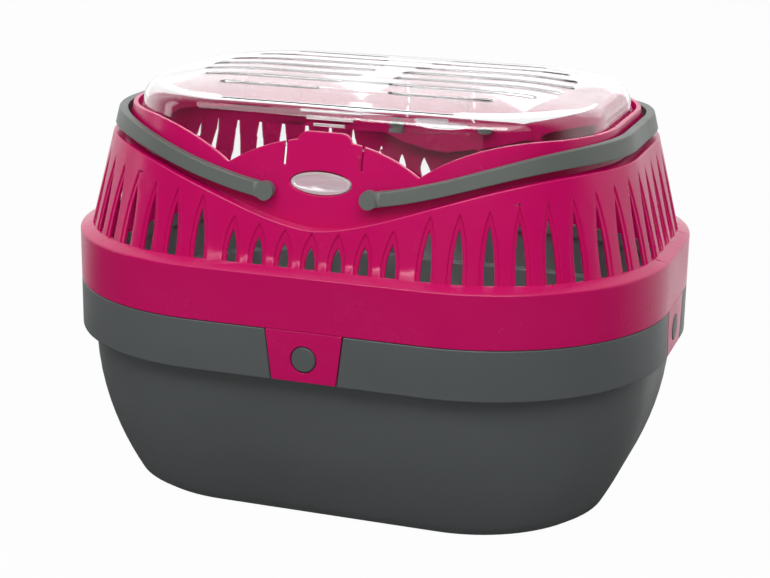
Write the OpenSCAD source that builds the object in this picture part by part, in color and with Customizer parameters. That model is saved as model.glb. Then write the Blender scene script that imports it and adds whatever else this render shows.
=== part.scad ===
// Small-animal carrier: a tapered tub, a slotted upper shell that clips on to it,
// a clear lift-off lid with two spring latches, and two swinging carry handles.
// Origin at the middle of the base, +Z up, front towards -Y, right end towards +X.
// "Inset" is a distance inwards from the outline of the widest band, at any height.

/* [Outline of the band] */
// Overall length, end to end
length = 300; // [284:2:316]
// Overall width, front to back
width = 231; // [222:1:240]
// Radius of the four plan corners
corner_r = 93.5; // [90:0.5:97]

/* [Tub] */
// Height of the joint line between tub and shell
tub_h = 102.2; // [99:0.2:104]
// Height of the tub's rim band, below that joint line
band_h = 24.2; // [21.2:0.2:27.2]
// Inset of the tub wall just under the band
band_step = 6.6; // [5.8:0.2:7.4]
// Inset of the tub wall at the floor
base_inset = 29.1; // [25:0.1:32]
// How strongly the tub wall curves: 1 is a straight taper
tub_curve = 2.1; // [1.6:0.1:2.4]
// Radius of the tub's bottom edge
base_edge_r = 3; // [2:0.5:5]
// Wall thickness of the tub
tub_wall = 2.2; // [1.8:0.1:2.6]
// Height of the hidden lip that locates the shell
lip_h = 6; // [4:0.5:8]
// Thickness of that lip
lip_t = 2; // [1.6:0.1:2.4]

/* [Shell] */
// Gap seen between the tub's band and the shell's skirt
joint_gap = 0.3; // [0.2:0.05:0.5]
// Height of the shoulder where the slotted wall starts
shoulder_z = 130.5; // [128:0.5:133]
// Fall of the sloping shoulder from there to its outer edge
shoulder_drop = 3; // [2.5:0.5:4]
// Inset of the slotted wall at the shoulder
wall_inset = 6.1; // [5.4:0.1:6.8]
// Inward lean of the slotted wall, mm per mm of height
wall_lean = 0.255; // [0.22:0.005:0.28]
// Wall thickness of the shell
shell_wall = 2.2; // [1.8:0.1:2.6]
// Height of the ledge at the middle of the front and back
ledge_low_z = 147.8; // [145:0.2:150.6]
// Height of the ledge along the two ends
ledge_high_z = 176.5; // [174:0.5:178]
// Distance from the middle at which the ledge is level again
ledge_run = 125; // [115:1:132]
// How soon the ledge rises from the middle: lower is sooner
ledge_soon = 0.85; // [0.8:0.05:1]
// Depth of the ledge at the front and back
ledge_depth = 5.5; // [5.3:0.1:7]
// Extra depth of the ledge along the two ends
ledge_end_extra = 1; // [0.5:0.25:2]
// Height of the rim along the two ends
rim_z = 190.5; // [188.5:0.5:193]
// Radius with which the rim falls from the ends
rim_fall_r = 90; // [84:1:100]
// Distance from the middle at which that fall starts
rim_fall_x = 99; // [96:1:103]
// Height of the rim's hump at the middle
hump_z = 187.2; // [186:0.1:189]
// Radius of the hump
hump_r = 86; // [81:1:94]

/* [Latch tongue of the shell] */
// Height of the tongue's straight top edge
tongue_z = 190.1; // [189.3:0.1:193]
// Width of the raised top of the tongue
tongue_w = 26.5; // [24:0.5:29.5]
// Corner radius of the tongue
tongue_r = 5; // [3.5:0.5:6]
// Distance from the middle to each slit beside the tongue
slit_x = 18.7; // [18.2:0.1:20.2]
// Width of each slit
slit_w = 1.4; // [1.2:0.1:1.8]
// Height of the closed end of the slits
slit_z = 174.3; // [172:0.1:178]
// Height of the centre of the oval window
window_z = 167.3; // [165:0.1:168]
// Width of the oval window
window_w = 30.4; // [27:0.2:31]
// Height of the oval window
window_h = 11.6; // [10:0.2:12.4]

/* [Vent slots of the shell] */
// Distance between the short slots at the middle
short_pitch = 12.9; // [12.1:0.1:13.6]
// Number of short slots each side of the middle one
short_count = 3; // [1:1:3]
// Distance between the long slots along the wall
long_pitch = 14.6; // [14:0.1:15.2]
// Number of long slots from one end's middle to the front
long_count = 11; // [6:1:11]
// Width of a slot at its foot
slot_w = 5; // [4:0.2:6]
// Height of the middle slot's point
slot_short_top = 140.4; // [138:0.2:142]
// Height of the first long slot's point
slot_mid_top = 153; // [150:0.5:155]
// Height of the slots' points along the ends
slot_long_top = 165; // [162:0.5:168]
// How far up a slot keeps its width: 1 is a plain triangle
slot_full = 2.6; // [1.8:0.1:3.4]
// Width of the shallow flute round each slot
flute_w = 8.6; // [7.6:0.2:9.6]
// Height by which a flute rises past its slot
flute_rise = 5.8; // [4:0.2:6.4]
// Depth of a flute
flute_depth = 0.8; // [0.5:0.1:1]

/* [Clips] */
// Width of a clip at its fold
clip_top_w = 37.6; // [34:0.4:41.2]
// Width of a clip at its lower edge
clip_low_w = 31.4; // [28:0.2:34]
// Thickness of a clip
clip_t = 1.8; // [1.4:0.1:2]
// Clear gap round a clip
clip_gap = 0.5; // [0.4:0.1:0.8]
// Depth of the snap studs' centres below the fold of the clips
stud_drop = 13.3; // [12:0.1:14.2]
// Diameter of a snap stud
stud_d = 12; // [10:0.1:12.8]
// Clear gap round a stud
stud_gap = 0.4; // [0.35:0.05:0.6]
// Height by which a stud stands proud of the clip
stud_proud = 0.5; // [0.2:0.1:0.8]

/* [Handles] */
// Distance from the middle to a handle's pivots
pivot_x = 25.2; // [24.6:0.2:27]
// Lowest height of a handle's centre line
handle_low_z = 162.2; // [161:0.2:163.6]
// Height of a handle's centre line along the end
handle_high_z = 184.2; // [183.5:0.1:187]
// Distance from the middle where the centre line starts to rise
handle_rise_x = 10; // [5:1:15]
// Distance over which it rises
handle_rise_run = 115; // [108:1:120]
// Diameter of the round eye at a handle's pivot
eye_d = 8.4; // [7.8:0.2:9]
// Height of the handle's section beside the eyes
handle_arm_h = 6.6; // [5.8:0.2:7.4]
// Height of the handle's section along the end
handle_grip_h = 9.2; // [8.4:0.2:10]
// Thickness of a handle
handle_t = 4.4; // [3.8:0.1:4.8]
// Least gap between a handle's pivot end and the neck, as it turns
pivot_gap = 0.3; // [0.2:0.1:0.5]
// Diameter of a pivot pin
pin_d = 6; // [4.5:0.5:7]
// Radial running clearance of a pivot pin
pin_clearance = 0.06; // [0.02:0.01:0.1]
// Diameter of the head that keeps a pin in its bore
pin_head_d = 8.4; // [8:0.2:10]
// Thickness of that head
pin_head_t = 1.4; // [1:0.2:2]

/* [Lid] */
// Least clear gap between the lid and the shell as the lid lifts off
lid_clearance = 0.2; // [0.2:0.05:0.6]
// Depth to which the lid drops inside the rim
lid_drop = 3; // [2:0.5:4]
// Wall thickness of the lid
lid_wall = 1.8; // [1.4:0.1:2.2]
// Inward lean of the lid's side wall, mm per mm of height
lid_lean = 0.3; // [0.27:0.01:0.36]
// Height at which the lid's side wall turns into the top
lid_edge_z = 191.5; // [190:0.5:194]
// Radius of that rounded edge
lid_edge_r = 10; // [8:0.5:12]
// Height of the middle of the lid's top
lid_top_z = 205; // [203.5:0.5:208]
// Number of vent slots front to back in the lid
lid_rows = 7; // [3:2:7]
// Distance between the rows of vent slots
lid_row_pitch = 17.2; // [14:0.2:18]
// Width of a vent slot in the lid
lid_slot_w = 3; // [2:0.2:4]
// Distance from the middle to the inner end of the middle row
lid_slot_in = 9; // [7:1:14]
// Distance from the middle to the outer end of the middle row
lid_slot_out = 93; // [80:1:96]

/* [Grip bars of the lid] */
// Number of grip bars on the lid's rounded edge, front and rear
grip_rows = 3; // [1:1:3]
// Width of the top one
grip_w = 30; // [24:1:34]
// Distance between them
grip_pitch = 2.85; // [2.4:0.05:3]
// Height of the top one above the start of the rounded edge
grip_rise = 6.7; // [6.2:0.1:7.5]
// Height of a bar's section
grip_h = 1.4; // [1:0.1:1.8]
// Height by which a bar stands proud of the lid
grip_proud = 0.8; // [0.5:0.1:1.2]

/* [Latches of the lid] */
// Width of a latch
latch_w = 33; // [32:0.5:34]
// Thickness of a latch
latch_t = 1.8; // [1.4:0.1:2]
// Height of a latch's lower edge
latch_low_z = 158.5; // [157.5:0.5:160]
// Clear gap round the oval button in its window
button_gap = 0.7; // [0.6:0.1:1]
// Width of the raised ring of the oval button
button_ring = 1.6; // [1:0.2:2]
// Depth of the face inside that ring
button_dish = 0.8; // [0.4:0.1:1.2]
// Height by which the ring stands proud of the tongue
button_proud = 0.3; // [0:0.1:0.5]

/* [Hidden] */
$fn = 96;

tub_color = [0.27, 0.28, 0.29];
shell_color = [0.78, 0.04, 0.37];
grey_color = [0.40, 0.42, 0.41];
clear_color = [0.90, 0.92, 0.95, 0.35];

far = 400;               // larger than the whole object
fold_gap = 0.1;          // hairline at a moulded fold
wall_steps = 12;         // straight steps in a curved wall
curve_steps = 24;        // straight steps in a saddle curve
half_l = length / 2;
half_w = width / 2;
shell_z = tub_h + joint_gap;
band_z = snap(tub_h - band_h);
stud_z = shell_z - stud_drop;

// ---- plan outline: straight front, back and ends, with round corners ----
corner_x = half_l - corner_r;
corner_y = half_w - corner_r;
function snap(v) = round(v * 1000) / 1000;   // to a thousandth, so that seams meet

// Solid whose side follows the outline; "profile" lists [inset, height] upwards.
module swept(profile, end_inset = 0) {
  cx = corner_x - end_inset;
  side = [for (p = profile) [max(snap(corner_r - p[0]), 0), snap(p[1])]];
  last = len(side) - 1;
  corner = concat([[0, side[0][1]]], side, [[0, side[last][1]]]);
  for (sx = [0, 1], sy = [0, 1])
    mirror([sx, 0, 0]) mirror([0, sy, 0])
      translate([cx, corner_y, 0])
        rotate_extrude(angle = 90) polygon(corner);
  rotate([90, 0, 90])
    linear_extrude(2 * cx, center = true) polygon(both_ways(side, corner_y));
  rotate([90, 0, 0])
    linear_extrude(2 * corner_y, center = true) polygon(both_ways(side, cx));
}
function both_ways(side, reach) =
  concat([for (p = side) [p[0] + reach, p[1]]],
         [for (i = [len(side) - 1 : -1 : 0]) [-side[i][0] - reach, side[i][1]]]);

// Everything under a saddle curve that runs the same along front and back
module under(points, low) {
  last = len(points) - 1;
  rotate([90, 0, 0])
    translate([0, 0, -far / 2])
      linear_extrude(far)
        polygon(concat([[points[0][0], low]], points, [[points[last][0], low]]));
}

// S-shaped rise from 0 to 1
function ease(t) = (1 - cos(180 * min(max(t, 0), 1))) / 2;
function ledge_at(x) =
  ledge_low_z + (ledge_high_z - ledge_low_z) * ease(pow(abs(x) / ledge_run, ledge_soon));
function handle_at(x) =
  handle_low_z + (handle_high_z - handle_low_z) * ease((abs(x) - handle_rise_x) / handle_rise_run);
function handle_half(x) =
  (handle_arm_h + (handle_grip_h - handle_arm_h) * pow((abs(x) - pivot_x) / (half_l - pivot_x), 2)) / 2;
function rim_end(x) =
  abs(x) >= rim_fall_x ? rim_z
  : rim_z - rim_fall_r + sqrt(pow(rim_fall_r, 2) - pow(rim_fall_x - abs(x), 2));
function rim_hump(x) = hump_z - hump_r + sqrt(pow(hump_r, 2) - pow(min(abs(x), hump_r), 2));

function spread(reach, steps) = [for (i = [-steps : steps]) reach * i / steps];
ledge_curve = concat([[-far / 2, ledge_high_z]],
                     [for (x = spread(ledge_run, curve_steps)) [x, ledge_at(x)]],
                     [[far / 2, ledge_high_z]]);

// x of the notch where hump and end meet, found by halving
function notch(lo, hi, n) =
  n == 0 ? (lo + hi) / 2
  : rim_hump((lo + hi) / 2) > rim_end((lo + hi) / 2)
    ? notch((lo + hi) / 2, hi, n - 1) : notch(lo, (lo + hi) / 2, n - 1);
notch_x = notch(20, 80, 20);
rim_steps = 10;
rim_half = concat([for (i = [0 : rim_steps]) notch_x * i / rim_steps],
                  [for (i = [1 : rim_steps]) notch_x + (rim_fall_x - notch_x) * i / rim_steps]);
function rim_side(s) = [for (x = rim_half) [s * x, max(rim_hump(x) * (x <= notch_x ? 1 : 0),
                                                       rim_end(x) * (x >= notch_x ? 1 : 0))]];
function back_to_front(v) = [for (i = [len(v) - 1 : -1 : 1]) v[i]];
rim_curve = concat([[-far / 2, rim_z]], back_to_front(rim_side(-1)), rim_side(1),
                   [[far / 2, rim_z]]);

// ---- insets of the walls ----
function tub_inset(z) =
  band_step + (base_inset - band_step) * pow((band_z - z) / band_z, tub_curve);
function edge_inset(z, r) = z >= r ? 0 : r - sqrt(pow(r, 2) - pow(r - z, 2));
function wall_at(z) = wall_inset + wall_lean * (z - shoulder_z);
function neck_at(z) = wall_at(z) + ledge_depth;
floor_t = tub_wall + 0.2;

// ---- things placed round the wall ----
// Draws its children, made for the front at x = 0, at a distance s along the wall.
corner_run = (corner_r - wall_inset) * PI / 2;
quarter_run = corner_x + corner_run + corner_y;
module at_run(s) {
  if (s <= corner_x)
    translate([s, -half_w, 0]) children();
  else if (s <= corner_x + corner_run)
    translate([corner_x, -corner_y, 0])
      rotate([0, 0, 90 * (s - corner_x) / corner_run])
        translate([0, -corner_r, 0]) children();
  else
    translate([half_l, s - quarter_run, 0]) rotate([0, 0, 90]) children();
}

function short_top(i) = slot_short_top + 0.55 * (ledge_at(i * short_pitch) - ledge_low_z);
function long_run(k) = quarter_run - k * long_pitch;
function long_top(k) =
  slot_mid_top + (slot_long_top - slot_mid_top) * sin(90 * (long_count - k) / long_count);
short_sites = [for (i = [0 : short_count]) [i * short_pitch, short_top(i)]];
long_sites = [for (k = [0 : long_count]) [long_run(k), long_top(k)]];
slot_sites = concat(short_sites, long_sites);

// Pointed arch standing on z = 0
arch_steps = [0, 0.3, 0.55, 0.75, 0.9, 0.97, 1];
function arch(w, h) =
  concat([for (t = arch_steps) [w / 2 * (1 - pow(t, slot_full)), h * t]],
         [for (i = [len(arch_steps) - 2 : -1 : 0])
           [-w / 2 * (1 - pow(arch_steps[i], slot_full)), h * arch_steps[i]]]);

module arch_cutter(w, h, depth) {
  translate([0, depth, 0])
    rotate([90, 0, 0])
      linear_extrude(3 * depth) polygon(arch(w, h));
}

// One slot right through the wall, and the flute that it stands in
module slot_cutter(top) {
  translate([0, wall_inset, shoulder_z])
    rotate([-atan(wall_lean), 0, 0]) {
      arch_cutter(slot_w, (top - shoulder_z) * sqrt(1 + pow(wall_lean, 2)), 2 * shell_wall);
      translate([0, flute_depth - 4, 0])
        arch_cutter(flute_w, (top + flute_rise - shoulder_z) * sqrt(1 + pow(wall_lean, 2)), 4);
    }
}

module slot_ring() {
  for (i = [0 : len(slot_sites) - 1]) {
    site = slot_sites[i];
    for (sx = i == 0 ? [0] : [0, 1], sy = i == short_count + 1 ? [0] : [0, 1])
      mirror([sx, 0, 0]) mirror([0, sy, 0])
        at_run(site[0]) slot_cutter(site[1]);
  }
}

// Same feature at front and back, or at both ends
module front_and_back() {
  children();
  mirror([0, 1, 0]) children();
}

// ---- clips and studs: drawn for the front, with the band's face at y = 0 ----
clip_low_z = band_z + 0.3;
module clip_outline(grow) {
  rotate([90, 0, 0])
    linear_extrude(far / 4, center = true)
      polygon([[-clip_top_w / 2 - grow, shell_z + grow], [clip_top_w / 2 + grow, shell_z + grow],
               [clip_low_w / 2 + grow, clip_low_z - 4 * grow],
               [-clip_low_w / 2 - grow, clip_low_z - 4 * grow]]);
}
module on_side(turn) {
  rotate([0, 0, turn])
    translate([0, turn == 0 || turn == 180 ? -half_w : -half_l, 0]) children();
}
module at_sides() {
  for (turn = [0, 180, 90, -90]) on_side(turn) children();
}

// Ring that follows the band, from inset "a" to inset "b"
module band_ring(a, b, low, high) {
  difference() {
    swept([[a, low], [a, high]]);
    swept([[b, low - 1], [b, high + 1]]);
  }
}

seat_t = 2;     // wall behind a clip's recess
seat_side = 3;  // how far that wall reaches past the recess
clip_seat = clip_t + 0.2;
module clip_seats() {
  intersection() {
    band_ring(tub_wall / 2, clip_seat + seat_t, band_z + tub_wall / 2, tub_h);
    at_sides()
      translate([-clip_top_w / 2 - seat_side, -half_w / 2, band_z])
        cube([clip_top_w + 2 * seat_side, half_w, tub_h]);
  }
}
module clip_recesses() {
  intersection() {
    band_ring(-5, clip_seat, band_z - 1, tub_h + lip_h);
    at_sides() clip_outline(clip_gap);
  }
}
module snap_stud() {
  translate([0, clip_seat + 0.5, stud_z])
    rotate([90, 0, 0])
      rotate_extrude()
        polygon([[0, 0], [stud_d / 2, 0], [stud_d / 2, clip_seat + 0.5],
                 [stud_d / 2 - 0.5, clip_seat + 0.5 + stud_proud / 2],
                 [0, clip_seat + 0.5 + stud_proud]]);
}
module clip(turn) {
  color(shell_color)
    difference() {
      intersection() {
        band_ring(0, clip_t, clip_low_z, shell_z - fold_gap);
        on_side(turn) clip_outline(0);
      }
      on_side(turn)
        translate([0, -5, stud_z])
          rotate([-90, 0, 0]) cylinder(d = stud_d + 2 * stud_gap, h = 10 + clip_t);
    }
}

// ---- lower tub ----
module lower_tub() {
  color(tub_color)
    difference() {
      union() {
        difference() {
          union() {
            swept([for (i = [0 : wall_steps])
                    let (z = band_z * pow(i / wall_steps, 1.3))
                      [tub_inset(z) + edge_inset(z, base_edge_r), z]]);
            swept([[0, band_z], [0, tub_h]]);
            swept([[shell_wall + 0.4, tub_h - 1],
                   [shell_wall + 0.4, tub_h + lip_h - 1.2],
                   [shell_wall + 1.2, tub_h + lip_h]]);
          }
          swept([for (i = [0 : wall_steps])
                  let (z = floor_t + (band_z - floor_t + tub_wall) * i / wall_steps)
                    [tub_inset(min(z, band_z)) + tub_wall + edge_inset(z - floor_t, base_edge_r), z]]);
          swept([[tub_wall, band_z + tub_wall], [tub_wall, tub_h - 3],
                 [shell_wall + 0.4 + lip_t, tub_h - 1],
                 [shell_wall + 0.4 + lip_t, tub_h + lip_h + 1]]);
        }
        clip_seats();
      }
      clip_recesses();
    }
  color(tub_color) at_sides() snap_stud();
}

// ---- upper shell ----
module tongue() {
  // raised top between the slits
  rotate([90, 0, 0])
    linear_extrude(far / 2) {
      translate([-tongue_w / 2, slit_z]) square([tongue_w, tongue_z - slit_z - tongue_r]);
      translate([-tongue_w / 2 + tongue_r, slit_z])
        square([tongue_w - 2 * tongue_r, tongue_z - slit_z]);
      for (s = [-1, 1])
        translate([s * (tongue_w / 2 - tongue_r), tongue_z - tongue_r]) circle(tongue_r);
    }
}
window_steps = 32;
module oval(w, h) {
  polygon([for (i = [0 : window_steps - 1])
            [w / 2 * cos(360 * i / window_steps), h / 2 * sin(360 * i / window_steps)]]);
}
module pivot_bores(d) {
  for (s = [-1, 1])
    translate([s * pivot_x, 0, handle_at(pivot_x)])
      rotate([90, 0, 0]) cylinder(d = d, h = far, center = true);
}
module upper_shell() {
  top = max(rim_z, tongue_z) + 1;
  color(shell_color)
    difference() {
      union() {
        intersection() {
          swept([[0, shell_z], [0, shoulder_z - shoulder_drop],
                 [0.35, shoulder_z - shoulder_drop + 0.5], [1, shoulder_z - shoulder_drop + 0.9],
                 [wall_inset, shoulder_z],
                 [wall_at(ledge_high_z + 1), ledge_high_z + 1]]);
          under(ledge_curve, 0);
        }
        intersection() {
          swept([[neck_at(shoulder_z), shoulder_z], [neck_at(top), top]], ledge_end_extra);
          union() {
            under(rim_curve, 0);
            front_and_back() tongue();
          }
        }
      }
      // hollow under the ledge
      intersection() {
        swept([[shell_wall, shell_z - 1], [shell_wall, shoulder_z - shoulder_drop - 1],
               [wall_inset + shell_wall - 0.3, shoulder_z - 1.6],
               [wall_at(ledge_high_z) + shell_wall, ledge_high_z]]);
        translate([0, 0, -shell_wall]) under(ledge_curve, 0);
      }
      // middle of the hollow, from the skirt to above the rim
      translate([-length / 4, -width / 4, shell_z - 1])
        cube([length / 2, width / 2, top - shell_z + 2]);
      // hollow of the neck
      swept([[neck_at(shoulder_z) + shell_wall, shoulder_z],
             [neck_at(top + 1) + shell_wall, top + 1]], ledge_end_extra);
      slot_ring();
      front_and_back() {
        for (s = [-1, 1])
          translate([s * slit_x - slit_w / 2, -far / 2, slit_z]) cube([slit_w, far / 2, far]);
        // window, square to the leaning wall
        translate([0, -half_w + neck_at(window_z) + shell_wall / 2, window_z])
          rotate([90 - atan(wall_lean), 0, 0])
            linear_extrude(4 * shell_wall, center = true) oval(window_w, window_h);
      }
      pivot_bores(pin_d + 2 * pin_clearance);
    }
}

// ---- handles: drawn for the left one ----
module handle() {
  reach = length / 2 + 10;
  xs = [for (i = [0 : curve_steps]) pivot_x + (reach - pivot_x) * i / curve_steps];
  // strip that follows the wall, seen from the front
  strip = concat([for (x = xs) [-x, handle_at(x) + handle_half(x)]],
                 [for (i = [curve_steps : -1 : 0]) [-xs[i], handle_at(xs[i]) - handle_half(xs[i])]]);
  low = handle_low_z - handle_grip_h;
  high = handle_high_z + handle_grip_h;
  z = handle_at(pivot_x);
  eye_r = eye_d / 2;
  eye_face = half_w - neck_at(z - eye_r) + pivot_gap;  // flat inner face round the pivot
  intersection() {
    difference() {
      swept([[wall_at(low), low], [wall_at(high), high]]);
      swept([[wall_at(low - 1) + handle_t, low - 1], [wall_at(high + 1) + handle_t, high + 1]]);
      translate([-pivot_x - eye_r, -eye_face, low]) cube([3 * eye_r, 2 * eye_face, high - low]);
    }
    rotate([90, 0, 0])
      linear_extrude(far, center = true) {
        polygon(strip);
        translate([-pivot_x, z]) circle(eye_r);
      }
  }
  // pivot pins, each with a head inside the shell
  back = half_w - neck_at(z + pin_head_d / 2) - shell_wall - 0.4; // clear of the neck's inside
  front_and_back()
    translate([-pivot_x, 0, z])
      rotate([90, 0, 0]) {
        translate([0, 0, back]) cylinder(d = pin_d, h = eye_face - back + 1);
        translate([0, 0, back - pin_head_t]) cylinder(d = pin_head_d, h = pin_head_t + 0.01);
      }
}
module left_handle() { color(grey_color) handle(); }
module right_handle() { color(grey_color) mirror([1, 0, 0]) handle(); }

// ---- lid ----
// A latch folds just below the lowest point of the lid's edge above it.
latch_fold_z = rim_hump(latch_w / 2) - lid_drop - 3 * fold_gap;
lid_gap = lid_clearance + wall_lean * (tongue_z - latch_fold_z);
lid_turn_z = hump_z;     // above the rim's hump the lid leans in more
function lid_side(z) =
  neck_at(min(z, lid_turn_z)) + shell_wall + lid_gap + lid_lean * max(z - lid_turn_z, 0);
lid_low_z = rim_end(notch_x) - lid_drop - 2;
lid_crown = corner_r - 1;  // inset at which the top is level
lid_flat_y = half_w - lid_side(lid_edge_z) - lid_edge_r; // half the width between the rounded edges
module lid_solid(t) {
  edge = lid_side(lid_edge_z) + t;
  r = lid_edge_r - t;
  tilt = 72;   // the rounded edge stops where it meets the crowned top
  e1 = edge + r * (1 - cos(tilt));
  z1 = lid_edge_z + r * sin(tilt);
  ztop = lid_top_z - t;
  low = lid_low_z - t;
  swept(concat([[lid_side(low) + t, low], [lid_side(lid_turn_z) + t, lid_turn_z]],
               [for (i = [0 : 6]) [edge + r * (1 - cos(tilt * i / 6)),
                                   lid_edge_z + r * sin(tilt * i / 6)]],
               [for (i = [1 : 8])
                 [e1 + (lid_crown - e1) * i / 8, ztop - (ztop - z1) * pow(1 - i / 8, 2)]]),
        ledge_end_extra);
}
module lid_vents() {
  rows = (lid_rows - 1) / 2;
  for (i = [-rows : rows], s = [-1, 1]) {
    y = i * lid_row_pitch;
    inner = lid_slot_in + 10 * pow(i / rows, 2);
    outer = lid_slot_out * sqrt(1 - pow(y / lid_flat_y, 2));
    translate([0, 0, lid_edge_z + 2])
      linear_extrude(30) {
        translate([s > 0 ? inner : -outer, y - lid_slot_w / 2]) square([outer - inner, lid_slot_w]);
        for (x = [inner, outer]) translate([s * x, y]) circle(d = lid_slot_w);
      }
  }
}
// Bars on the lid's rounded edge, each square to the surface; lower ones are shorter
module grip_bars() {
  for (i = [0 : grip_rows - 1]) {
    rise = grip_rise - i * grip_pitch;
    tilt = asin(rise / lid_edge_r);
    w = grip_w * (1 - 0.25 * i);
    inset = lid_side(lid_edge_z) + lid_edge_r * (1 - cos(tilt));
    translate([0, -half_w + inset, lid_edge_z + rise])
      rotate([-tilt, 0, 0])
        translate([-w / 2, -grip_proud, -grip_h / 2])
          cube([w, grip_proud + lid_wall / 2, grip_h]);
  }
}
module lid() {
  color(clear_color)
    difference() {
      union() {
        lid_solid(0);
        front_and_back() grip_bars();
      }
      lid_solid(lid_wall);
      // lower edge: follows the rim, and runs straight where a latch hangs from it
      difference() {
        translate([0, 0, -lid_drop]) under(rim_curve, 0);
        translate([-latch_w / 2, -far / 2, latch_fold_z + fold_gap]) cube([latch_w, far, far]);
      }
      lid_vents();
    }
}

// ---- latches of the lid, drawn for the front ----
module latch() {
  lean = atan(wall_lean);
  y_fold = -half_w + lid_side(latch_fold_z);
  drop = (latch_fold_z - latch_low_z) / cos(lean);
  button_drop = (latch_fold_z - window_z) / cos(lean) + (lid_gap + shell_wall / 2) * sin(lean);
  face = (lid_gap + shell_wall) * cos(lean) + button_proud;
  w = window_w - 2 * button_gap;
  h = window_h - 2 * button_gap;
  translate([0, y_fold, latch_fold_z])
    rotate([-lean, 0, 0]) {
      translate([-latch_w / 2, 0, -drop]) cube([latch_w, latch_t, drop]);
      translate([0, 0, -button_drop])
        rotate([90, 0, 0]) {
          linear_extrude(face - button_dish) oval(w, h);
          linear_extrude(face)
            difference() {
              oval(w, h);
              oval(w - 2 * button_ring, h - 2 * button_ring);
            }
        }
    }
}
module front_latch() { color(clear_color) latch(); }
module rear_latch() { color(clear_color) mirror([0, 1, 0]) latch(); }

module front_clip() { clip(0); }
module rear_clip() { clip(180); }
module left_clip() { clip(-90); }
module right_clip() { clip(90); }

lower_tub();
upper_shell();
lid();
front_latch();
rear_latch();
left_handle();
right_handle();
front_clip();
rear_clip();
left_clip();
right_clip();
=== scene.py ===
import math

import bmesh
import bpy
from mathutils import Matrix, Vector


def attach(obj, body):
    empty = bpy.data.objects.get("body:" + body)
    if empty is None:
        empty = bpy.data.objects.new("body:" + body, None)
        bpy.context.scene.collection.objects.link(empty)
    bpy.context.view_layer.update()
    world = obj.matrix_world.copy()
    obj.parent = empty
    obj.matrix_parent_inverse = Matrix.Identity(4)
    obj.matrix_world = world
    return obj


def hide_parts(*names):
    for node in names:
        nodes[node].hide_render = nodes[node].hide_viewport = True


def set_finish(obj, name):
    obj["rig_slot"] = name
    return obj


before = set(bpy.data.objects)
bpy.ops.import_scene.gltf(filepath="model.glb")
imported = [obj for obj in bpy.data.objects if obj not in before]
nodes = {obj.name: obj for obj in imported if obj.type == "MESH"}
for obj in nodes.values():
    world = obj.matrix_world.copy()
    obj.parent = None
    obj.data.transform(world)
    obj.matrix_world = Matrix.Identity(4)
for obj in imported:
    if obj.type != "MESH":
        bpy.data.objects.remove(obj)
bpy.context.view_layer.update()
scene = bpy.context.scene


# ---- camera: the photograph's own place, fitted from the object's outline ----
PHOTO_W = 770  # pixels
FOCAL = 1805.035  # pixels
SENSOR_W = 36  # millimetres


def make_camera():
    data = bpy.data.cameras.new("camera")
    data.sensor_width = SENSOR_W
    data.lens = FOCAL / PHOTO_W * SENSOR_W
    data.clip_start, data.clip_end = 0.05, 30
    cam = bpy.data.objects.new("camera", data)
    right = Vector((0.94558492, 0.32499799, 0.01566708))
    up = Vector((-0.10384423, 0.25580269, 0.96113545))
    back = Vector((0.30835941, -0.91046213, 0.27563233))
    turn = Matrix((right, up, back)).transposed().to_4x4()
    cam.matrix_world = Matrix.Translation((0.28670, -0.84676, 0.34867)) @ turn
    scene.collection.objects.link(cam)
    scene.camera = cam


make_camera()


# ---- materials ----
def srgb(r, g, b):
    """Linear colour of an 8-bit screen colour."""
    out = []
    for v in (r, g, b):
        v /= 255
        out.append(v / 12.92 if v <= 0.04045 else ((v + 0.055) / 1.055) ** 2.4)
    return (*out, 1.0)


class Graph:
    """Principled material whose textures are placed by object coordinates, in metres."""

    def __init__(self, name):
        self.mat = bpy.data.materials.new(name)
        self.mat.use_nodes = True
        self.tree = self.mat.node_tree
        self.tree.nodes.clear()
        self.out = self.add("ShaderNodeOutputMaterial")
        self.bsdf = self.add("ShaderNodeBsdfPrincipled")
        self.link(self.bsdf, "BSDF", self.out, "Surface")
        self.place = self.add("ShaderNodeTexCoord")

    def add(self, kind, **props):
        node = self.tree.nodes.new(kind)
        for key, value in props.items():
            setattr(node, key, value)
        return node

    def link(self, a, a_out, b, b_in):
        self.tree.links.new(a.outputs[a_out], b.inputs[b_in])

    def noise(self, scale, detail=2.0, rough=0.5, stretch=None):
        tex = self.add("ShaderNodeTexNoise")
        tex.inputs["Scale"].default_value = scale
        tex.inputs["Detail"].default_value = detail
        tex.inputs["Roughness"].default_value = rough
        if stretch:
            mapping = self.add("ShaderNodeMapping")
            mapping.inputs["Scale"].default_value = stretch
            self.link(self.place, "Object", mapping, "Vector")
            self.link(mapping, "Vector", tex, "Vector")
        else:
            self.link(self.place, "Object", tex, "Vector")
        return tex

    def ranged(self, source, low, high):
        node = self.add("ShaderNodeMapRange")
        node.inputs["From Min"].default_value = 0.3
        node.inputs["From Max"].default_value = 0.7
        node.inputs["To Min"].default_value = low
        node.inputs["To Max"].default_value = high
        self.link(source, "Fac", node, "Value")
        return node

    def bump(self, source, depth, under=None):
        node = self.add("ShaderNodeBump")
        node.inputs["Strength"].default_value = 1.0
        node.inputs["Distance"].default_value = depth
        self.link(source, "Fac", node, "Height")
        if under:
            self.link(under, "Normal", node, "Normal")
        return node


IOR = 1.49  # of all the plastics here
WAVE_DEPTH = 0.00002  # metres, of the slow waves in a moulded surface


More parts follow.
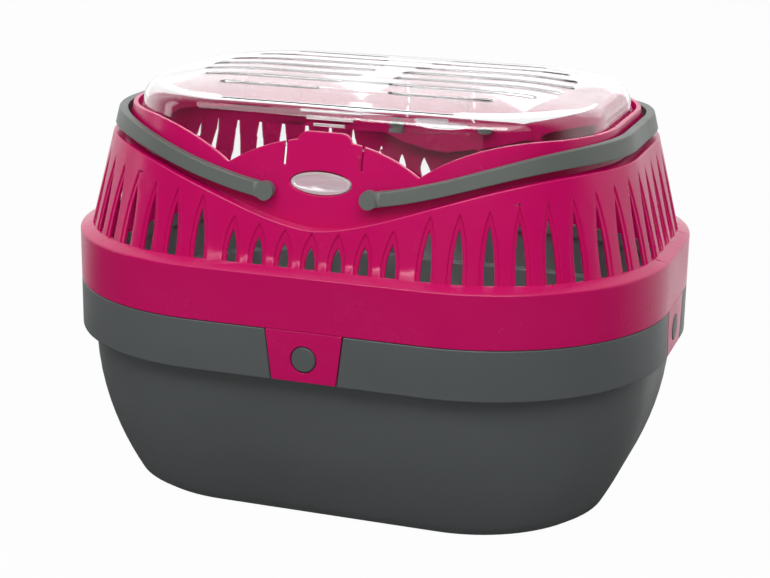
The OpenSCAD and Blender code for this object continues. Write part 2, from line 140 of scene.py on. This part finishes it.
def moulded(name, low, high, rough, grain, grain_depth, specular=0.5):
    """Injection-moulded plastic: faint flow marks in its colour, fine grain and slow waves.

    "grain" is the scale of the grain's noise, and a lower "specular" dims the gloss."""
    g = Graph(name)
    mix = g.add("ShaderNodeMix", data_type="RGBA")
    mix.inputs["A"].default_value = low
    mix.inputs["B"].default_value = high
    marks = g.noise(9.0, 3.0, 0.55, (1.0, 1.0, 2.2))
    g.link(g.ranged(marks, 0.0, 1.0), "Result", mix, "Factor")
    g.tree.links.new(mix.outputs["Result"], g.bsdf.inputs["Base Color"])
    patches = g.noise(38.0, 4.0, 0.6)
    g.link(g.ranged(patches, rough - 0.04, rough + 0.05), "Result", g.bsdf, "Roughness")
    g.bsdf.inputs["IOR"].default_value = IOR
    g.bsdf.inputs["Specular IOR Level"].default_value = specular
    waves = g.bump(g.noise(22.0, 1.0, 0.4), WAVE_DEPTH)
    g.link(g.bump(g.noise(grain, 2.0, 0.6), grain_depth, waves), "Normal", g.bsdf, "Normal")
    return g.mat


def clear_plastic(name):
    """Clear plastic with a slightly wavy surface."""
    g = Graph(name)
    g.bsdf.inputs["Base Color"].default_value = (0.975, 0.975, 0.985, 1.0)
    g.bsdf.inputs["Transmission Weight"].default_value = 1.0
    g.bsdf.inputs["IOR"].default_value = IOR
    g.link(g.ranged(g.noise(30.0, 3.0, 0.6), 0.01, 0.04), "Result", g.bsdf, "Roughness")
    g.link(g.bump(g.noise(26.0, 1.0, 0.4), 0.00006), "Normal", g.bsdf, "Normal")
    return g.mat


def painted_reflection_plastic(name, color, clear_share):
    """Clear plastic made milky by a pale base colour, which is painted reflection of the bright
    surroundings and glints that clear plastic mirrors; the coat and fine bumps add real sharp glints.
    """
    g = Graph(name)
    g.bsdf.inputs["Base Color"].default_value = color
    g.bsdf.inputs["Transmission Weight"].default_value = clear_share
    g.bsdf.inputs["IOR"].default_value = IOR
    g.bsdf.inputs["Coat Weight"].default_value = 0.6
    g.bsdf.inputs["Coat Roughness"].default_value = 0.04
    g.link(g.ranged(g.noise(120.0, 3.0, 0.6), 0.08, 0.22), "Result", g.bsdf, "Roughness")
    g.link(g.bump(g.noise(210.0, 1.0, 0.4, (1.0, 1.0, 2.6)), 0.0003), "Normal", g.bsdf, "Normal")
    return g.mat


magenta = moulded(
    "magenta_plastic", srgb(206, 2, 98), srgb(212, 3, 103),
    rough=0.24, grain=2600.0, grain_depth=0.000004, specular=0.35,
)
dark = moulded(
    "dark_plastic", srgb(90, 94, 95), srgb(96, 100, 101),
    rough=0.42, grain=1900.0, grain_depth=0.000014,
)
grey = moulded(
    "grey_plastic", srgb(100, 105, 101), srgb(108, 113, 109),
    rough=0.4, grain=2100.0, grain_depth=0.00001, specular=0.35,
)
clear = clear_plastic("clear_plastic")
# The milky base colours are painted reflection: pale on the grip bars and the buttons' rings for the
# bright surroundings, pink in the buttons' bowls for the magenta shell.
painted_reflection_ribs = painted_reflection_plastic("clear_plastic_ribs_painted_reflection", (0.95, 0.9, 0.92, 1.0), 0.45)
dish = painted_reflection_plastic("clear_plastic_dish_painted_reflection", (0.93, 0.76, 0.82, 1.0), 0.55)

# ---- outline of the mouldings, in metres, as in the CAD ----
# Widest band: centres and radius of its round corners
CORNER_X, CORNER_Y, CORNER_R = 0.0565, 0.022, 0.0935
# Slotted wall: height and inset of its foot, and how much it leans in per unit of height
SHOULDER_Z, WALL_INSET, WALL_LEAN = 0.1305, 0.0061, 0.255
WALL_TOLERANCE = 0.00008
# Least and greatest depth of a flute's floor below the wall; it is flat where the wall is round
FLUTE_DEPTHS = (0.0006, 0.00105)
# Lid's rounded edge: centre and radius of its arc
EDGE_Y, EDGE_Z, EDGE_R = 0.07376, 0.1915, 0.010
# Grip bars: half of the longest one with a margin, and how far a bar's faces clear the edge
GRIP_HALF, GRIP_PROUD = 0.0152, 0.00015
# Latches: place of the fold, distance from it down to the button, and the button's front
# face and the start of its sides, both out from the fold
FOLD_Y, FOLD_Z = 0.086302, 0.182302
BUTTON_DROP, BUTTON_FACE, BUTTON_START = 0.016295, 0.004553, 0.0025
LEAN = math.atan(WALL_LEAN)
# Bowl in a button: half axes, depth of its middle below the face, and rise to its rim
BOWL_W, BOWL_H, BOWL_DEPTH, BOWL_RISE = 0.01285, 0.00345, 0.00078, 0.00062
BOWL_RINGS, BOWL_SPOKES = 8, 64
# Handles: the round eyes end this far from the middle
EYE_END_X = 0.0305


def inset(p):
    """Distance of a point inwards from the outline of the widest band."""
    dx, dy = max(abs(p.x) - CORNER_X, 0), max(abs(p.y) - CORNER_Y, 0)
    return CORNER_R - math.hypot(dx, dy)


def below_wall(p):
    """Distance of a point inwards from the outside of the slotted wall."""
    return inset(p) - WALL_INSET - WALL_LEAN * (p.z - SHOULDER_Z)


def on_wall(p):
    """Whether a point lies on the outside of the slotted wall."""
    return p.z > SHOULDER_Z and abs(below_wall(p)) < WALL_TOLERANCE


def in_flute(p):
    """Whether a point lies on the floor of a flute."""
    return p.z > SHOULDER_Z and FLUTE_DEPTHS[0] < below_wall(p) < FLUTE_DEPTHS[1]


def on_grip(p):
    """Whether a point lies on a grip bar, proud of the lid's rounded edge."""
    beside, above = abs(p.y) - EDGE_Y, p.z - EDGE_Z
    proud = math.hypot(beside, above) - EDGE_R
    return abs(p.x) < GRIP_HALF and above > 0 and beside > 0 and proud > GRIP_PROUD


def on_button(p):
    """Whether a point lies on the outer part of a latch's button."""
    out = (abs(p.y) - FOLD_Y) * math.cos(LEAN) - (FOLD_Z - p.z) * math.sin(LEAN)
    return out > BUTTON_START


# ---- pieces: the CAD solids with their moulded edge radii ----
def dress(node, body, material, edge, steps=2, angle=30.0, ease=None, second=None, where=None):
    """Copy of a CAD node with welded seams, rounded edges and smooth walls, in its place.

    "edge" is the radius of the convex edges that turn by more than "angle" degrees, in
    "steps" steps. "ease" gives the share of the radius that an edge gets, less than 0 for
    one that is only shaded smooth. Faces whose middle "where" accepts get the material
    "second"."""
    source = nodes[node]
    mesh = source.data.copy()
    if mesh.attributes.get("custom_normal"):
        mesh.attributes.remove(mesh.attributes["custom_normal"])
    bm = bmesh.new()
    bm.from_mesh(mesh)
    bmesh.ops.remove_doubles(bm, verts=bm.verts, dist=2e-6)
    weight = bm.edges.layers.float.new("bevel_weight_edge")
    for f in bm.faces:
        f.smooth = True
    for e in bm.edges:
        turn = e.calc_face_angle_signed(0)
        if abs(turn) > math.radians(angle):
            share = 1.0 if turn > 0 else 0.0
            if ease:
                share = ease(e, share)
            e[weight] = max(share, 0.0)
            e.smooth = share != 0
    bm.to_mesh(mesh)
    bm.free()
    mesh.materials.clear()
    mesh.materials.append(material)
    if second:
        mesh.materials.append(second)
        for face in mesh.polygons:
            face.material_index = 1 if where(face.center) else 0
    piece = bpy.data.objects.new(node + "_moulded", mesh)
    scene.collection.objects.link(piece)
    bevel = piece.modifiers.new("edge", "BEVEL")
    bevel.width = edge
    bevel.segments = steps
    bevel.limit_method = "WEIGHT"
    bevel.use_clamp_overlap = False
    bevel.loop_slide = False
    weighted = piece.modifiers.new("normals", "WEIGHTED_NORMAL")
    weighted.mode = "FACE_AREA_WITH_ANGLE"
    weighted.keep_sharp = True
    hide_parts(node)
    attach(piece, body)
    if source.get("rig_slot"):
        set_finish(piece, source["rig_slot"])
    return piece


def shell_edge(e, share):
    """Share of the radius: flutes of the slotted wall are softer than the other edges."""
    if not share:
        return -1.0 if all(in_flute(v.co) for v in e.verts) else 0.0
    beside_upright = any(abs(f.normal.z) < 0.6 for f in e.link_faces)
    if beside_upright and all(on_wall(v.co) for v in e.verts):
        return 1.0
    return 0.45


def handle_edge(e, share):
    """Share of the radius: the thin round eyes keep their edges, the rest is rounded."""
    return 0.0 if min(abs(v.co.x) for v in e.verts) < EYE_END_X else share


def button_dish(side, sign):
    """Bowl inside the raised ring of a latch's oval button; "sign" is the side's way in Y."""
    bm = bmesh.new()

    def place(across, up, out):
        """Point of the latch's own frame, from its button's middle."""
        z = up - BUTTON_DROP
        return bm.verts.new((
            across,
            sign * (FOLD_Y + out * math.cos(LEAN) - z * math.sin(LEAN)),
            FOLD_Z + z * math.cos(LEAN) + out * math.sin(LEAN),
        ))

    low = BUTTON_FACE - BOWL_DEPTH
    turns = [2 * math.pi * k / BOWL_SPOKES for k in range(BOWL_SPOKES)]
    rows = [[place(0, 0, low)]]
    for i in range(1, BOWL_RINGS + 1):
        t = i / BOWL_RINGS
        rows.append([
            place(BOWL_W * t * math.cos(a), BOWL_H * t * math.sin(a), low + BOWL_RISE * t * t)
            for a in turns
        ])
    for i in range(BOWL_RINGS):
        for k in range(BOWL_SPOKES):
            m = (k + 1) % BOWL_SPOKES
            inner = rows[0] if i == 0 else [rows[i][m], rows[i][k]]
            corners = [rows[i + 1][k], rows[i + 1][m], *inner]
            bm.faces.new(corners if sign < 0 else corners[::-1])
    for f in bm.faces:
        f.smooth = True
    mesh = bpy.data.meshes.new(side + "_button_dish")
    bm.to_mesh(mesh)
    bm.free()
    # The bowl's pink milky colour is painted reflection of the magenta shell.
    mesh.materials.append(dish)
    piece = bpy.data.objects.new(side + "_button_dish", mesh)
    scene.collection.objects.link(piece)
    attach(piece, side + "_latch_body")
    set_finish(piece, "clear_plastic")


button_dish("front", -1)
button_dish("rear", 1)
dress("lower_tub", "tub", dark, 0.0006)
dress("upper_shell", "shell", magenta, 0.00075, 4, ease=shell_edge)
# Grip bars and the latches' buttons get the milky material, whose colour is painted reflection.
lid = dress("lid", "lid_body", clear, 0.0003, second=painted_reflection_ribs, where=on_grip)
lid.visible_shadow = False  # the clear pieces let all the light of the lamps through
for side in ("front", "rear"):
    latch = dress(
        side + "_latch", side + "_latch_body", clear, 0.00035, second=painted_reflection_ribs, where=on_button
    )
    latch.visible_shadow = False
dress("left_handle", "left_handle_body", grey, 0.0006, 4, ease=handle_edge)
dress("right_handle", "right_handle_body", grey, 0.0006, 4, ease=handle_edge)
for side in ("front", "rear", "left", "right"):
    dress(side + "_clip", side + "_clip_body", magenta, 0.0003)


# ---- stage ----
class Stage:
    """Shader of the floor or the world, with the kinds of ray that reach it."""

    def __init__(self, tree):
        self.tree = tree
        tree.nodes.clear()
        path = tree.nodes.new("ShaderNodeLightPath")
        self.lit = self.math("GREATER_THAN", path.outputs["Diffuse Depth"], 0.5)
        mirrored = self.math("GREATER_THAN", path.outputs["Glossy Depth"], 0.5)
        unlit = self.math("SUBTRACT", 1.0, self.lit)
        self.mirrored = self.math("MULTIPLY", unlit, mirrored)  # in the gloss of a surface
        self.direct = self.math("SUBTRACT", unlit, self.mirrored)  # by the camera, or through the lid

    def math(self, kind, a, b):
        node = self.tree.nodes.new("ShaderNodeMath")
        node.operation = kind
        for slot, value in enumerate((a, b)):
            if isinstance(value, (int, float)):
                node.inputs[slot].default_value = value
            else:
                self.tree.links.new(value, node.inputs[slot])
        return node.outputs[0]

    def rearwards(self, start, end, low, high):
        """Rises from low to high towards +Y."""
        place = self.tree.nodes.new("ShaderNodeNewGeometry")
        split = self.tree.nodes.new("ShaderNodeSeparateXYZ")
        rise = self.tree.nodes.new("ShaderNodeMapRange")
        rise.interpolation_type = "SMOOTHSTEP"
        for key, value in (("From Min", start), ("From Max", end), ("To Min", low), ("To Max", high)):
            rise.inputs[key].default_value = value
        self.tree.links.new(place.outputs["Position"], split.inputs[0])
        self.tree.links.new(split.outputs["Y"], rise.inputs["Value"])
        return rise.outputs["Result"]


def floor():
    bm = bmesh.new()
    bmesh.ops.create_grid(bm, x_segments=8, y_segments=8, size=4.0)
    mesh = bpy.data.meshes.new("floor")
    bm.to_mesh(mesh)
    bm.free()
    obj = bpy.data.objects.new("floor", mesh)
    scene.collection.objects.link(obj)
    mat = bpy.data.materials.new("floor")
    mat.use_nodes = True
    tree = mat.node_tree
    st = Stage(tree)
    out = tree.nodes.new("ShaderNodeOutputMaterial")
    diffuse = tree.nodes.new("ShaderNodeBsdfDiffuse")
    diffuse.inputs["Color"].default_value = (0.5, 0.5, 0.5, 1)
    glow = tree.nodes.new("ShaderNodeEmission")
    gloss = st.math("MULTIPLY", st.mirrored, st.rearwards(-0.05, 0.35, 0.08, 0.9))
    tree.links.new(st.math("ADD", st.direct, gloss), glow.inputs["Strength"])
    mix = tree.nodes.new("ShaderNodeMixShader")
    tree.links.new(st.math("MULTIPLY", st.math("SUBTRACT", 1.0, st.lit), 0.975), mix.inputs["Fac"])
    tree.links.new(diffuse.outputs[0], mix.inputs[1])
    tree.links.new(glow.outputs[0], mix.inputs[2])
    tree.links.new(mix.outputs[0], out.inputs["Surface"])
    mesh.materials.append(mat)


def backdrop():
    world = bpy.data.worlds.new("world")
    scene.world = world
    world.use_nodes = True
    tree = world.node_tree
    st = Stage(tree)
    out = tree.nodes.new("ShaderNodeOutputWorld")
    sky = tree.nodes.new("ShaderNodeBackground")
    sky.inputs["Color"].default_value = (1, 1, 1, 1)
    gloss = st.math("MULTIPLY", st.mirrored, st.rearwards(-0.2, 0.3, 0.08, 1.25))
    seen = st.math("ADD", st.direct, gloss)
    tree.links.new(st.math("ADD", seen, st.math("MULTIPLY", st.lit, 0.12)), sky.inputs["Strength"])
    tree.links.new(sky.outputs[0], out.inputs["Surface"])


def lamp(name, azimuth, elevation, distance, size, watts, mirrored=True, lights=True):
    """Soft box aimed at the object; azimuth from the front (-Y) towards the right end (+X).

    "mirrored" shows it in gloss, and "lights" lets it light the surfaces."""
    a, e = math.radians(azimuth), math.radians(elevation)
    aim = Vector((0, 0, 0.11))
    away = Vector((math.sin(a) * math.cos(e), -math.cos(a) * math.cos(e), math.sin(e)))
    data = bpy.data.lights.new(name, "AREA")
    data.shape = "RECTANGLE"
    data.size, data.size_y = size
    data.energy = watts
    obj = bpy.data.objects.new(name, data)
    obj.location = aim + away * distance
    obj.rotation_euler = (-away).to_track_quat("-Z", "Y").to_euler()
    obj.visible_camera = False
    obj.visible_glossy = mirrored
    obj.visible_diffuse = lights
    scene.collection.objects.link(obj)


floor()
backdrop()
lamp("key_box", -5, 58, 1.6, (2.6, 1.0), 19)
lamp("gloss_strip", 8, 47, 1.6, (1.5, 0.35), 13, lights=False)
lamp("right_fill", 45, 42, 1.9, (1.0, 1.0), 5, False)
lamp("front_fill", 0, 15, 2.0, (1.2, 0.8), 1.5, False)
lamp("left_strip", -80, 12, 1.6, (0.25, 1.0), 1.5)
lamp("rear_box", 180, 30, 1.9, (2.6, 1.0), 10, False)

scene.view_settings.view_transform = "Standard"
